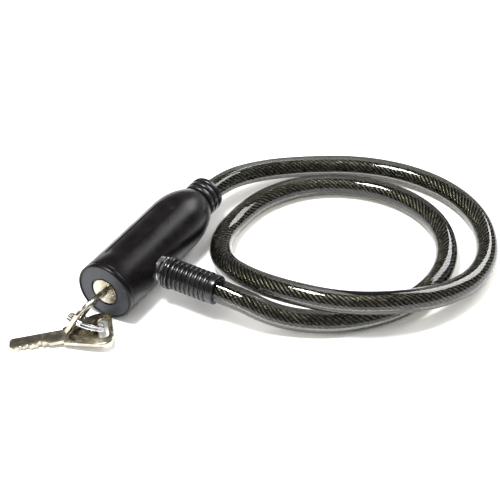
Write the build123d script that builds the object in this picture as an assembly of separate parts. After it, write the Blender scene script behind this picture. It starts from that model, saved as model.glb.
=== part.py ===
# Key cable lock for a bicycle: a barrel-shaped lock head, a plastic-sheathed steel cable that is
# fixed in the head's rear and plugs into its side, and two keys on a split ring.
#
# Millimetres, +Z up.  The lock lies on a flat surface at z = 0.  While it is modelled, the head's
# axis runs along Y and the plug's axis along X, and the two cross above (0, 0).  At the end every
# piece is shifted so that the origin is under the middle of the head and keys.
from build123d import *
from math import asin, cos, pi, radians, sin, sqrt, tan
import os

# ---- cable ----
CABLE_R = 6.0            # plastic sheath
ROPE_R = 2.5             # steel rope inside
SLIDE_FIT = 0.05         # gap round a piece that slides or turns
SEAT_FIT = 0.03          # gap round a piece that is pressed or glued in
END_FIT = 0.3            # gap past the end of a pin, bolt or rope in its bore
JOIN = 0.5               # overlap of two shapes that are joined into one piece
EDGE_BREAK = 0.6         # bevel on the edges of the small turned pieces

# ---- lock head, measured along its axis from the plug's axis at y = 0 ----
HEAD_R = 16.0            # outer radius of the rubberised cover, and height of both axes
FACE_Y = -30.0           # front rim of the cover
SHOULDER_Y = 35.0        # where the rear dome starts
DOME_MID_Y = 51.5        # where the dome turns in more sharply
DOME_DROP = 3.1          # how far it has come in there
NECK_Y = 58.0            # rear end of the cover
RIM_ROUND = 0.9
RIM_LINE_Y = 2.7         # moulded line behind the front rim
RIM_LINE_DEPTH = 0.35
RIM_LINE_W = 0.6
COVER_WALL = 2.5
HOUSING_R = HEAD_R - COVER_WALL
HOUSING_FRONT = 2.5      # behind the front rim
HOUSING_REAR_Y = 40.0
PIN_INSET = 1.4          # ends of the steel pins below the housing's surface
RIM_WALL = 1.4
PLATE_R = HEAD_R - RIM_WALL
PLATE_T = 2.0            # slate-grey plate in the front of the cover

# ---- key cylinder ----
BARREL_R = 8.0
BARREL_RECESS = 1.1      # its front behind the cover's rim
BARREL_REAR_Y = -9.4
KEYHOLE_R = BARREL_R + 0.1
CORE_R = 6.25            # the turning plug of the cylinder
CORE_HEAD_R = CORE_R + 0.75
CORE_HEAD_T = 1.2
CORE_RECESS = 0.6
CORE_REAR_Y = -6.9
CLIP_Y = -8.75           # middle of the retaining clip
CLIP_T = 0.8
CLIP_GROOVE_R = CORE_R - 0.75
CLIP_MOUTH = 6.6
CHAMBER_R = BARREL_R - 0.4   # space behind the cylinder in which the clip and the lug turn
CHAMBER_REAR_Y = -2.4
CLIP_R = CHAMBER_R - 0.3
LUG_OUT_R = CORE_R - SLIDE_FIT   # locking lug on the rear of the turning plug
LUG_IN_R = LUG_OUT_R - 2.0
LUG_SPREAD = 24.0        # degrees
LUG_END_Y = CHAMBER_REAR_Y - 0.3
WAFER_COUNT = 5
WAFERS_BEHIND_FACE = 4.6
WAFERS_BEFORE_CLIP = 3.85
WAFER_FIRST_Y = FACE_Y + WAFERS_BEHIND_FACE
WAFER_LAST_Y = CLIP_Y - WAFERS_BEFORE_CLIP
WAFER_T = 1.0
WAFER_W = 5.4
WAFER_R = CORE_R - 0.15
WAFER_TAB = 1.2          # side tab that the spring pushes
WAFER_TAB_T = 0.9
SPRING_R = 0.5
SPRING_LONG = 4.0
SPRING_END = 0.6         # spring chamber beyond each end of the spring's travel
CYLINDER_PIN_R = 1.0
CYLINDER_PIN_X = 0.5 - BARREL_R
CYLINDER_PIN_Y = -18.0

# ---- socket in the side of the head, and the plug that goes in ----
BOLT_R = 4.0
BOLT_TIP_X = -1.0
BOLT_NECK_R = 2.4
BOLT_NOSE = 1.0          # bevel on its tip
GROOVE_MARGIN = 0.3      # groove beyond the lug's sweep
BUSH_WALL = 2.5
BUSH_LONG = 6.9
BUSH_PROUD = 0.4         # its mouth beyond the cover
BUSH_LIP = 0.7
BUSH_LIP_LONG = 2.2
BUSH_R = BOLT_R + BUSH_WALL
BUSH_LIP_R = BUSH_R + BUSH_LIP
BUSH_OUT_X = HEAD_R + BUSH_PROUD
BUSH_IN_X = BUSH_OUT_X - BUSH_LONG
BUSH_LIP_X = BUSH_OUT_X - BUSH_LIP_LONG
SEAL_X = BUSH_OUT_X - 3.8
SEAL_WIRE_R = 0.85
PLUG_GAP = 0.15          # between bush and collar when the plug is home
COLLAR_R = BUSH_R - 0.1
COLLAR_LONG = 2.5
FLANGE_R = 8.6
FLANGE_LONG = 3.4
FLANGE_GROOVE = 0.7
CRIMP_WALL = 2.4
CRIMP_R = ROPE_R + CRIMP_WALL    # socket of the bolt, crimped on the steel rope
BOOT_TAIL = 12.0         # boot beyond the end of the cable's sheath
BOOT_WALL = 1.05         # over the cable
BOOT_RIB = 0.85
BOOT_RIBS = 8
BOOT_PITCH = 2.75
BOOT_RIB_W = 1.7
BOOT_SKIRT = 0.6
BOOT_ROOT_R = CABLE_R + BOOT_WALL
FIRST_RIB = 0.3          # start of the first rib from the sleeve's end
TAIL_SLOPE = 0.5

# ---- fixed end of the cable ----
FERRULE_WALL = 2.95
FERRULE_R = ROPE_R + FERRULE_WALL
FERRULE_FRONT_Y = 16.0
FERRULE_REAR_Y = 47.0
FERRULE_GROOVE_Y = 30.0
FERRULE_GROOVE_R = FERRULE_R - 1.3
ANCHOR_PIN_R = 1.2
NECK_BOOT_LONG = 12.5
NECK_WALL = 2.3          # over the cable
NECK_RING = 1.8
NECK_RINGS = 3
NECK_RING_PITCH = 3.9
NECK_RING_W = 2.9
NECK_ROOT_R = CABLE_R + NECK_WALL
NECK_R = NECK_ROOT_R + NECK_RING / 2     # end of the cover's dome

# ---- the cable's route ----
SHEATH_START_X = 37.0    # sheath end inside the plug's boot
SHEATH_END_Y = 56.0      # sheath end inside the head's neck
ROPE_START_X = 24.5
ROPE_END_Y = 20.0
CRIMP_END_X = SHEATH_START_X - 0.6
BOOT_END_X = SHEATH_START_X + BOOT_TAIL
ARC_SHARE = 0.45         # arc tangent as a share of the shorter run
# Middle of the cable from the plug to the head.  It lies on the surface in two loops, and the
# second loop rises over the first near the plug.
ROUTE = [
    (SHEATH_START_X, 0, HEAD_R),
    (61, 0, HEAD_R),
    (81, 4.5, 8.4),
    (106, 17, CABLE_R),
    (127, 38, CABLE_R),
    (138, 65.5, CABLE_R),
    (135.5, 95.5, CABLE_R),
    (119, 120.5, CABLE_R),
    (93, 133, CABLE_R),
    (64, 131.5, CABLE_R),
    (38.5, 117.5, CABLE_R),
    (23, 94, CABLE_R),
    (19.6, 70.5, CABLE_R),
    (21.8, 47.5, 7.5),
    (35.5, 25.3, 11.8),
    (59, 13.6, 17.8),
    (85.5, 12.5, 20.2),
    (111, 18.5, 20.2),
    (133.5, 34.5, 18.4),
    (149, 57.5, 13),
    (155.5, 84.5, 8),
    (151.5, 112, CABLE_R),
    (136, 136.5, CABLE_R),
    (112, 151.5, CABLE_R),
    (84, 155.5, CABLE_R),
    (56, 149.5, CABLE_R),
    (31.5, 134.5, 6.6),
    (12, 110.5, 11.5),
    (0, 82, HEAD_R),
    (0, SHEATH_END_Y, HEAD_R),
]

# ---- keys and split ring ----
KEY_T = 1.9
BLADE_LONG = 27.0
BLADE_W = 8.4
BLADE_IN_Y = CORE_REAR_Y - 0.1   # tip of the key that is in the cylinder
BOW_ROOT_Y = BLADE_IN_Y - BLADE_LONG
KEYWAY_W = KEY_T + 0.25
KEYWAY_H = BLADE_W + 0.3
BLADE_GROOVE_W = 2.2
BLADE_GROOVE_DEPTH = 0.45
BLADE_GROOVE_LOW = 1.4   # middle of the groove below the blade's middle
BLADE_TIP_BACK = 2.5     # slopes at the blade's tip
BLADE_TIP_EDGE = 1.5
BOW_BREAK = 0.4          # bevel round the bow's corners
BOW_LONG = 25.0
BOW_ROOT_W = 11.0
BOW_W = 23.6
BOW_END_LONG = 8.0       # outer stretch of the bow, where its sides run straight
BOW_SLOPE_LONG = BOW_LONG - BOW_END_LONG
BOW_ROUND = 5.0
RING_SLOT_W = 5.0
RING_SLOT_LONG = 15.0
RING_SLOT_IN = 4.8       # middle of the slot from the bow's outer end
RING_SLOT_X = BOW_LONG - RING_SLOT_IN
CUT_DEPTHS = [1.1, 1.9, 0.8, 1.6, 1.2]
CUT_FLAT = 0.9
KEY_LEAN = 29.0          # degrees that the keyway leans at rest
RING_R = 9.55            # to the middle of the wire
RING_WIRE_R = 0.75
RING_WIRE_STEP = 1.46    # between the two turns
RING_SIDE_X = -1.1
RING_IN = 8.2            # its middle nearer the head than the slot of the key in the cylinder
RING_DROP = 8.4          # its middle below the head's axis
RING_CENTRE = (RING_SIDE_X, BOW_ROOT_Y - RING_SLOT_X + RING_IN, HEAD_R - RING_DROP)
RING_NORMAL = (0.04, 0.62, 0.785)
SPARE_SIDE_X = 12.7      # outer end of the spare key's bow, from the ring's middle
SPARE_IN = 5.2
SPARE_END = (RING_CENTRE[0] + SPARE_SIDE_X, RING_CENTRE[1] + SPARE_IN)
SPARE_DROP = 2.8
SPARE_RAISE = RING_CENTRE[2] - SPARE_DROP    # the ring under its bow lifts that end
SPARE_HEADING = 39.0     # degrees
RING_GAP = 0.9           # between the wire's end and the other turn's bend
RING_GAP_RAISE = 0.2
RING_GAP_TURN = 100.0    # degrees round the ring
RING_GAP_SPREAD = 12.0


def on_head_axis(piece, y=0.0):
    """Turn a piece modelled along Z so that it runs rearward along the head's axis."""
    return Plane((0, y, HEAD_R), x_dir=(1, 0, 0), z_dir=(0, 1, 0)) * piece


def on_plug_axis(piece, x=0.0):
    """Turn a piece modelled along Z so that it runs outward along the plug's axis."""
    return Plane((x, 0, HEAD_R), x_dir=(0, 1, 0), z_dir=(1, 0, 0)) * piece


def turned(*corners):
    """Solid of revolution about Z through (radius, height) corners."""
    return revolve(make_face(Polyline([(r, 0, h) for r, h in corners], close=True)), Axis.Z)


def tube(outer, inner, start, end):
    return turned((inner, start), (outer, start), (outer, end), (inner, end))


def rod(radius, start, end):
    return Pos(0, 0, start) * Cylinder(radius, end - start, align=(Align.CENTER, Align.CENTER, Align.MIN))


def block(x, y, z):
    """Box between two (low, high) pairs on each axis."""
    return Pos(sum(x) / 2, sum(y) / 2, sum(z) / 2) * Box(x[1] - x[0], y[1] - y[0], z[1] - z[0])


def upright_pin(radius, x, y, gap):
    """Pin across the housing beside its axis, or its hole, which is larger by a gap all round."""
    half = sqrt(HOUSING_R ** 2 - x ** 2) - PIN_INSET
    return Pos(x, y, HEAD_R) * Cylinder(radius + gap, 2 * (half + gap))


# ---------------------------------------------------------------- lock head
def outer_cover():
    """Rubberised cover: a straight barrel with a domed rear and an open neck."""
    line_y = FACE_Y + RIM_LINE_Y
    barrel = Polyline(
        (HOUSING_R, FACE_Y),
        (HEAD_R - RIM_ROUND, FACE_Y),
    )
    rim = TangentArc((HEAD_R - RIM_ROUND, FACE_Y), (HEAD_R, FACE_Y + RIM_ROUND), tangent=(1, 0))
    side = Polyline(
        (HEAD_R, FACE_Y + RIM_ROUND),
        (HEAD_R, line_y),
        (HEAD_R - RIM_LINE_DEPTH, line_y + RIM_LINE_W / 2),
        (HEAD_R, line_y + RIM_LINE_W),
        (HEAD_R, SHOULDER_Y),
    )
    dome_middle = (HEAD_R - DOME_DROP, DOME_MID_Y)
    shoulder = TangentArc((HEAD_R, SHOULDER_Y), dome_middle, tangent=(0, 1))
    crown = TangentArc(dome_middle, (NECK_R, NECK_Y), tangent=shoulder % 1)
    inside = Polyline(
        (NECK_R, NECK_Y),
        (CABLE_R + SLIDE_FIT, NECK_Y),
        (CABLE_R + SLIDE_FIT, FERRULE_REAR_Y + 2),
        (HOUSING_R + SEAT_FIT, HOUSING_REAR_Y),
        (HOUSING_R + SEAT_FIT, FACE_Y + HOUSING_FRONT),
        (HOUSING_R, FACE_Y + HOUSING_FRONT),
        (HOUSING_R, FACE_Y),
    )
    outline = Plane.XZ * Wire([*barrel.edges(), *rim.edges(), *side.edges(), *shoulder.edges(),
                               *crown.edges(), *inside.edges()])
    shell = revolve(make_face(outline), Axis.Z)
    shell -= rod(PLATE_R + SEAT_FIT, FACE_Y, FACE_Y + HOUSING_FRONT)
    shell = on_head_axis(shell)
    return shell - on_plug_axis(rod(BUSH_LIP_R + SLIDE_FIT, BUSH_IN_X, HEAD_R + 2))


def lock_housing():
    """Die-cast housing with the bores for the cylinder, the bolt and the cable's ferrule."""
    front = FACE_Y + HOUSING_FRONT
    body = on_head_axis(rod(HOUSING_R, front, HOUSING_REAR_Y))
    body -= on_head_axis(rod(BARREL_R + SEAT_FIT, front, BARREL_REAR_Y))
    body -= on_head_axis(rod(CHAMBER_R, BARREL_REAR_Y, CHAMBER_REAR_Y))
    body -= on_head_axis(rod(FERRULE_R + SEAT_FIT, FERRULE_FRONT_Y, HOUSING_REAR_Y))
    body -= on_plug_axis(rod(BOLT_R + SLIDE_FIT, BOLT_TIP_X - END_FIT, BUSH_IN_X))
    body -= on_plug_axis(rod(BUSH_R + SEAT_FIT, BUSH_IN_X, HEAD_R))
    body -= cylinder_pin(SEAT_FIT)
    return body - anchor_pins(SEAT_FIT)


def face_plate():
    """Plate that closes the front round the key cylinder."""
    start = FACE_Y + HOUSING_FRONT - PLATE_T
    return on_head_axis(tube(PLATE_R, KEYHOLE_R, start, start + PLATE_T))


def cylinder_barrel():
    """Fixed sleeve of the key cylinder."""
    front = FACE_Y + BARREL_RECESS
    head_seat = FACE_Y + CORE_RECESS + CORE_HEAD_T + SLIDE_FIT
    sleeve = on_head_axis(tube(BARREL_R, CORE_R + SLIDE_FIT, front, BARREL_REAR_Y))
    sleeve -= on_head_axis(rod(CORE_HEAD_R + SLIDE_FIT, front, head_seat))
    return sleeve - cylinder_pin(SEAT_FIT)


def cylinder_pin(gap=0.0):
    return upright_pin(CYLINDER_PIN_R, CYLINDER_PIN_X, CYLINDER_PIN_Y, gap)


def socket_bush():
    """Steel mouth of the socket, with a groove for the seal."""
    bush = on_plug_axis(tube(BUSH_R, BOLT_R + SLIDE_FIT, BUSH_IN_X, BUSH_OUT_X))
    bush += on_plug_axis(tube(BUSH_LIP_R, BUSH_R - JOIN, BUSH_LIP_X, BUSH_OUT_X))
    seal_space = rod(BOLT_R + SLIDE_FIT + 2 * SEAL_WIRE_R, SEAL_X - SEAL_WIRE_R, SEAL_X + SEAL_WIRE_R)
    return bush - on_plug_axis(seal_space)


def seal_ring():
    """Rubber ring that grips the bolt and keeps water out."""
    ring = Torus(BOLT_R + SLIDE_FIT + SEAL_WIRE_R, SEAL_WIRE_R - SEAT_FIT)
    return on_plug_axis(ring, SEAL_X)


def fixed_ferrule():
    """Ferrule crimped on the rope's fixed end, held by the two anchor pins in its groove."""
    ferrule = tube(FERRULE_R, ROPE_R + SEAT_FIT, FERRULE_FRONT_Y, FERRULE_REAR_Y)
    half = ANCHOR_PIN_R + SLIDE_FIT
    ferrule -= tube(HOUSING_R, FERRULE_GROOVE_R, FERRULE_GROOVE_Y - half, FERRULE_GROOVE_Y + half)
    return on_head_axis(ferrule)


def anchor_pins(gap=0.0):
    offset = FERRULE_GROOVE_R + ANCHOR_PIN_R + SLIDE_FIT
    return Compound([upright_pin(ANCHOR_PIN_R, side * offset, FERRULE_GROOVE_Y, gap) for side in (-1, 1)])


def ringed_sleeve(root_r, rib, bore, start, end, count, pitch, rib_w, tail_r):
    """Flexible sleeve with raised ribs, and a plain tail at its far end."""
    corners = [(bore, start), (root_r, start)]
    slope = (pitch - rib_w) / 4
    for i in range(count):
        low = start + FIRST_RIB + i * pitch
        high = low + 2 * slope + rib_w
        corners += [(root_r, low), (root_r + rib, low + slope)]
        corners += [(root_r + rib, high - slope), (root_r, high)]
    tail = start + FIRST_RIB + count * pitch
    corners += [(root_r, tail), (tail_r, tail + TAIL_SLOPE)]
    corners += [(tail_r, end - EDGE_BREAK), (tail_r - EDGE_BREAK, end), (bore, end)]
    return turned(*corners)


def neck_boot():
    """Ringed collar on the head's neck, where the cable goes in."""
    sleeve = ringed_sleeve(NECK_ROOT_R, NECK_RING, CABLE_R + SEAT_FIT, NECK_Y, NECK_Y + NECK_BOOT_LONG,
                           NECK_RINGS, NECK_RING_PITCH, NECK_RING_W, NECK_ROOT_R)
    return on_head_axis(sleeve)


# ---------------------------------------------------------------- key cylinder's turning parts
def leaning(piece):
    """Turn a piece about the head's axis to the angle of the keyway."""
    return piece.rotate(Axis((0, 0, HEAD_R), (0, 1, 0)), KEY_LEAN)


def wafer_places():
    pitch = (WAFER_LAST_Y - WAFER_FIRST_Y) / (WAFER_COUNT - 1)
    return [WAFER_FIRST_Y + i * pitch for i in range(WAFER_COUNT)]


def cylinder_core():
    """Turning plug with keyway, wafer slots and the lug that enters the bolt's groove."""
    front = FACE_Y + CORE_RECESS
    core = rod(CORE_R, front, CORE_REAR_Y) + rod(CORE_HEAD_R, front, front + CORE_HEAD_T)
    core -= tube(CORE_R + 1, CLIP_GROOVE_R, CLIP_Y - CLIP_T / 2 - SLIDE_FIT, CLIP_Y + CLIP_T / 2 + SLIDE_FIT)
    core = on_head_axis(core)
    slots = block((-KEYWAY_W / 2, KEYWAY_W / 2), (front, CORE_REAR_Y),
                  (HEAD_R - KEYWAY_H / 2, HEAD_R + KEYWAY_H / 2))
    half_t = WAFER_T / 2 + SLIDE_FIT
    half_w = WAFER_W / 2 + SLIDE_FIT
    for y in wafer_places():
        slots += block((-half_w, half_w), (y - half_t, y + half_t), (HEAD_R - CORE_R, HEAD_R + CORE_R))
        slots += block((0, half_w + WAFER_TAB), (y - half_t, y + half_t),
                       (HEAD_R - SPRING_LONG / 2 - SPRING_END, HEAD_R + SPRING_LONG / 2 + SPRING_END))
    return core - leaning(slots) + locking_lug()


def locking_lug():
    """Lug off the axis: a short stretch of a ring, at the top while the lock is open."""
    start = CORE_REAR_Y - JOIN
    ring = tube(LUG_OUT_R, LUG_IN_R, start, LUG_END_Y)
    reach = 2 * LUG_OUT_R
    half = reach * tan(radians(LUG_SPREAD / 2))
    wedge = make_face(Polyline([(0, 0), (reach, half), (reach, -half)], close=True))
    sector = Pos(0, 0, start) * extrude(wedge, LUG_END_Y - start)
    return on_head_axis(Rot(0, 0, -90) * (ring & sector))


def core_clip():
    """Open clip that keeps the turning plug in its sleeve."""
    clip = tube(CLIP_R, CLIP_GROOVE_R + SEAT_FIT, CLIP_Y - CLIP_T / 2, CLIP_Y + CLIP_T / 2)
    half = CLIP_MOUTH / 2
    mouth = block((0, 2 * CLIP_R), (-half, half), (CLIP_Y - CLIP_T, CLIP_Y + CLIP_T))
    return on_head_axis(clip - mouth)


def wafers():
    """Flat wafers that the key lines up, each with a window for the blade and a tab for its spring."""
    plates = []
    half_w = WAFER_W / 2
    tab_low = HEAD_R + SPRING_LONG / 2 - SPRING_END
    for y in wafer_places():
        thick = (y - WAFER_T / 2, y + WAFER_T / 2)
        disc = on_head_axis(rod(WAFER_R, *thick))
        plate = disc & block((-half_w, half_w), thick, (HEAD_R - WAFER_R, HEAD_R + WAFER_R))
        plate += block((0, half_w + WAFER_TAB - 2 * SLIDE_FIT), thick, (tab_low, tab_low + WAFER_TAB_T))
        plate -= block((-KEYWAY_W / 2, KEYWAY_W / 2), (y - WAFER_T, y + WAFER_T),
                       (HEAD_R - KEYWAY_H / 2, HEAD_R + KEYWAY_H / 2))
        plates.append(leaning(plate))
    return Compound(plates)


def wafer_springs():
    """Small springs beside the wafers, as plain rods of their outer size."""
    x = WAFER_W / 2 + WAFER_TAB / 2
    low = HEAD_R - SPRING_LONG / 2 - SPRING_END + SLIDE_FIT
    high = HEAD_R + SPRING_LONG / 2 - SPRING_END - SLIDE_FIT
    return Compound([leaning(Pos(x, y, (low + high) / 2) * Cylinder(SPRING_R, high - low))
                     for y in wafer_places()])


# ---------------------------------------------------------------- plug on the cable's free end
def collar_start():
    return BUSH_OUT_X + PLUG_GAP


def flange_start():
    return collar_start() + COLLAR_LONG


def boot_start():
    return flange_start() + FLANGE_LONG


def locking_bolt():
    """Steel bolt with a groove for the lug, and a socket crimped on the rope."""
    reach = sqrt(BOLT_R ** 2 - LUG_END_Y ** 2)
    groove_in = sqrt(LUG_IN_R ** 2 - reach ** 2) - GROOVE_MARGIN
    groove_out = LUG_OUT_R + GROOVE_MARGIN
    bore_r = ROPE_R + SLIDE_FIT
    bore_end = ROPE_START_X - END_FIT
    bolt = turned(
        (0, BOLT_TIP_X), (BOLT_R - BOLT_NOSE, BOLT_TIP_X), (BOLT_R, BOLT_TIP_X + BOLT_NOSE),
        (BOLT_R, groove_in), (BOLT_NECK_R, groove_in), (BOLT_NECK_R, groove_out), (BOLT_R, groove_out),
        (BOLT_R, flange_start()), (CRIMP_R, flange_start()), (CRIMP_R, CRIMP_END_X),
        (bore_r, CRIMP_END_X), (bore_r, bore_end), (0, bore_end))
    return on_plug_axis(bolt)


def plug_collar():
    bore = BOLT_R + SEAT_FIT
    start = collar_start()
    collar = turned(
        (bore, start), (COLLAR_R - EDGE_BREAK, start), (COLLAR_R, start + EDGE_BREAK),
        (COLLAR_R, flange_start()), (bore, flange_start()))
    return on_plug_axis(collar)


def plug_flange():
    """Glossy ring with a groove round its rim."""
    bore = CRIMP_R + SEAT_FIT
    start = flange_start()
    end = boot_start()
    middle = (start + end) / 2
    groove = FLANGE_GROOVE / 2
    flange = turned(
        (bore, start), (FLANGE_R - EDGE_BREAK, start), (FLANGE_R, start + EDGE_BREAK),
        (FLANGE_R, middle - groove), (FLANGE_R - FLANGE_GROOVE, middle), (FLANGE_R, middle + groove),
        (FLANGE_R, end - EDGE_BREAK), (FLANGE_R - EDGE_BREAK, end), (bore, end))
    return on_plug_axis(flange)


def plug_boot():
    """Ribbed boot over the crimp and the first stretch of cable."""
    sleeve = ringed_sleeve(BOOT_ROOT_R, BOOT_RIB, CRIMP_R + SEAT_FIT, boot_start(), BOOT_END_X,
                           BOOT_RIBS, BOOT_PITCH, BOOT_RIB_W, BOOT_ROOT_R + BOOT_SKIRT)
    sleeve -= rod(CABLE_R + SLIDE_FIT, CRIMP_END_X + END_FIT, BOOT_END_X)
    return on_plug_axis(sleeve)


# ---------------------------------------------------------------- cable
def arc_radii(points):
    """Largest tidy arc at each corner of the route."""
    spots = [Vector(*p) for p in points]
    radii = []
    for before, here, after in zip(spots, spots[1:], spots[2:]):
        run_in = here - before
        run_out = after - here
        half_turn = radians(run_in.get_angle(run_out)) / 2
        radii.append(ARC_SHARE * min(run_in.length, run_out.length) / tan(half_turn))
    return radii


def cable_path():
    return FilletPolyline(*ROUTE, radius=arc_radii(ROUTE))


def swept(section, path):
    return sweep(Plane(path @ 0, z_dir=path % 0) * section, path=path)


def cable_sheath(path):
    """Clear plastic sheath with the rope's bore through it."""
    return swept(Circle(CABLE_R) - Circle(ROPE_R + SEAT_FIT), path)


def cable_rope(path):
    """Steel rope, bare where it enters the bolt and the fixed ferrule."""
    rope = swept(Circle(ROPE_R), path)
    rope += on_plug_axis(rod(ROPE_R, ROPE_START_X, SHEATH_START_X))
    return rope + on_head_axis(rod(ROPE_R, ROPE_END_Y, SHEATH_END_Y))


def least_self_gap(path, apart=60.0, steps=360):
    """Least gap between stretches of cable that are at least `apart` along it."""
    spots = [path @ (i / steps) for i in range(steps + 1)]
    skip = int(apart / path.length * steps)
    nearest = min((a - b).length for i, a in enumerate(spots) for b in spots[i + skip:])
    return nearest - 2 * CABLE_R


# ---------------------------------------------------------------- keys and ring
def key_blank():
    """Flat key along X: the bow ends at +BOW_LONG and the blade's tip is at -BLADE_LONG."""
    half = BLADE_W / 2
    bow = make_face(Polyline([
        (0, -BOW_ROOT_W / 2), (BOW_SLOPE_LONG, -BOW_W / 2), (BOW_LONG, -BOW_W / 2),
        (BOW_LONG, BOW_W / 2), (BOW_SLOPE_LONG, BOW_W / 2), (0, BOW_ROOT_W / 2)], close=True))
    bow = fillet(bow.vertices().group_by(Axis.X)[-1], BOW_ROUND)
    blade = make_face(Polyline([
        (JOIN, -half), (JOIN, half), (BLADE_TIP_BACK - BLADE_LONG, half),
        (-BLADE_LONG, half - BLADE_TIP_BACK), (-BLADE_LONG, BLADE_TIP_EDGE - half),
        (BLADE_TIP_EDGE - BLADE_LONG, -half)], close=True))
    slot = Pos(RING_SLOT_X, 0) * Rot(0, 0, 90) * SlotOverall(RING_SLOT_LONG, RING_SLOT_W)
    key = Pos(0, 0, -KEY_T / 2) * extrude(bow + blade - slot, KEY_T)
    corners = key.edges().filter_by(GeomType.CIRCLE).filter_by(lambda e: e.radius > 0.9 * BOW_ROUND)
    return chamfer(corners, BOW_BREAK)


def cut_places():
    """Cuts of the bitting, one over each wafer when the key is home."""
    return [-BLADE_LONG + (BLADE_IN_Y - y) for y in wafer_places()]


def key():
    blank = key_blank()
    top = BLADE_W / 2
    for x, depth in zip(cut_places(), CUT_DEPTHS):
        notch = make_face(Polyline([
            (x - CUT_FLAT / 2, top - depth), (x + CUT_FLAT / 2, top - depth),
            (x + CUT_FLAT / 2 + depth, top), (x - CUT_FLAT / 2 - depth, top)], close=True))
        blank -= Pos(0, 0, -KEY_T) * extrude(notch, 2 * KEY_T)
    groove = Box(BLADE_LONG, BLADE_GROOVE_W, 2 * BLADE_GROOVE_DEPTH)
    for side in (-1, 1):
        blank -= Pos(-BLADE_LONG / 2, -BLADE_GROOVE_LOW, side * KEY_T / 2) * groove
    return blank


def home_key_plane():
    """Where the key in the cylinder lies: X runs out of the face and Y up the leaning keyway."""
    lean = radians(KEY_LEAN)
    return Plane((0, BOW_ROOT_Y, HEAD_R), x_dir=(0, -1, 0), z_dir=(cos(lean), 0, -sin(lean)))


def spare_key_plane():
    """Where the spare key lies: its tip on the surface and its bow lifted by the ring."""
    heading = radians(SPARE_HEADING)
    tilt = asin(SPARE_RAISE / (BLADE_LONG + BOW_LONG))
    along = Vector(cos(heading) * cos(tilt), sin(heading) * cos(tilt), sin(tilt))
    across = Vector(-sin(heading), cos(heading), 0)
    up = along.cross(across)
    tip = Vector(*SPARE_END, SPARE_RAISE) - along * (BLADE_LONG + BOW_LONG) + up * (KEY_T / 2)
    return Plane(tip + along * BLADE_LONG, x_dir=along, z_dir=up)


def split_ring():
    """Double-turn wire ring, with a gap on each face where the wire's ends lie."""
    turns = [Pos(0, 0, side * RING_WIRE_STEP / 2) * Torus(RING_R, RING_WIRE_R) for side in (-1, 1)]
    ring = turns[0] + turns[1]
    gap = Box(3 * RING_WIRE_R, RING_GAP, 2 * RING_WIRE_R)
    for side in (-1, 1):
        place = Pos(RING_R, 0, side * (RING_WIRE_STEP / 2 + RING_GAP_RAISE))
        ring -= Rot(0, 0, RING_GAP_TURN + side * RING_GAP_SPREAD) * place * gap
    return Plane(RING_CENTRE, z_dir=RING_NORMAL) * ring


# ---------------------------------------------------------------- assembly
CORD_NODES = ["cable_sheath", "cable_rope", "locking_bolt", "plug_collar", "plug_flange", "plug_boot"]


def all_nodes():
    path = cable_path()
    print("arc radii", [round(r) for r in arc_radii(ROUTE)])
    print("cable length", round(path.length, 1), "least gap to itself", round(least_self_gap(path), 2))
    nodes = {
        "outer_cover": outer_cover(),
        "lock_housing": lock_housing(),
        "face_plate": face_plate(),
        "cylinder_barrel": cylinder_barrel(),
        "cylinder_pin": cylinder_pin(),
        "socket_bush": socket_bush(),
        "seal_ring": seal_ring(),
        "fixed_ferrule": fixed_ferrule(),
        "anchor_pins": anchor_pins(),
        "neck_boot": neck_boot(),
        "cylinder_core": cylinder_core(),
        "core_clip": core_clip(),
        "wafers": wafers(),
        "wafer_springs": wafer_springs(),
        "locking_bolt": locking_bolt(),
        "plug_collar": plug_collar(),
        "plug_flange": plug_flange(),
        "plug_boot": plug_boot(),
        "cable_sheath": cable_sheath(path),
        "cable_rope": cable_rope(path),
        "home_key": home_key_plane() * key(),
        "split_ring": split_ring(),
        "spare_key": spare_key_plane() * key(),
    }
    section = pi * (CABLE_R ** 2 - (ROPE_R + SEAT_FIT) ** 2)
    share = nodes["cable_sheath"].volume / (section * path.length)
    print("sheath volume / (section x length)", round(share, 4))
    return nodes


def base_centre(pieces):
    """Point on the surface under the middle of the box round some pieces."""
    boxes = [piece.bounding_box() for piece in pieces]
    x = (min(b.min.X for b in boxes) + max(b.max.X for b in boxes)) / 2
    y = (min(b.min.Y for b in boxes) + max(b.max.Y for b in boxes)) / 2
    return x, y


def main():
    os.makedirs("parts", exist_ok=True)
    nodes = all_nodes()
    x, y = base_centre([piece for name, piece in nodes.items() if name not in CORD_NODES])
    print("origin of the row in the modelling frame", round(x, 4), round(y, 4))
    for name, piece in nodes.items():
        export_step(Pos(-x, -y, 0) * piece, f"parts/{name}.step")


main()
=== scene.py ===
# %% [markdown]
# # A key cable lock
# The lock has a rubber-covered barrel, a steel rope in a clear plastic sheath, a ribbed plug that
# goes into the barrel's side, and two keys on a split ring. The turned and milled pieces come
# finished from the engineering model. Here they get their surfaces, and the pieces that bend,
# swell or wind are modelled again: the cable, the rope's strands, the ribbed sleeves, the cover,
# the keys' soft edges and the ring.

# %% Load the engineering model
import bmesh
import bpy
from math import atan2, cos, degrees, pi, radians, sin
from mathutils import Matrix, Vector


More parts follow.
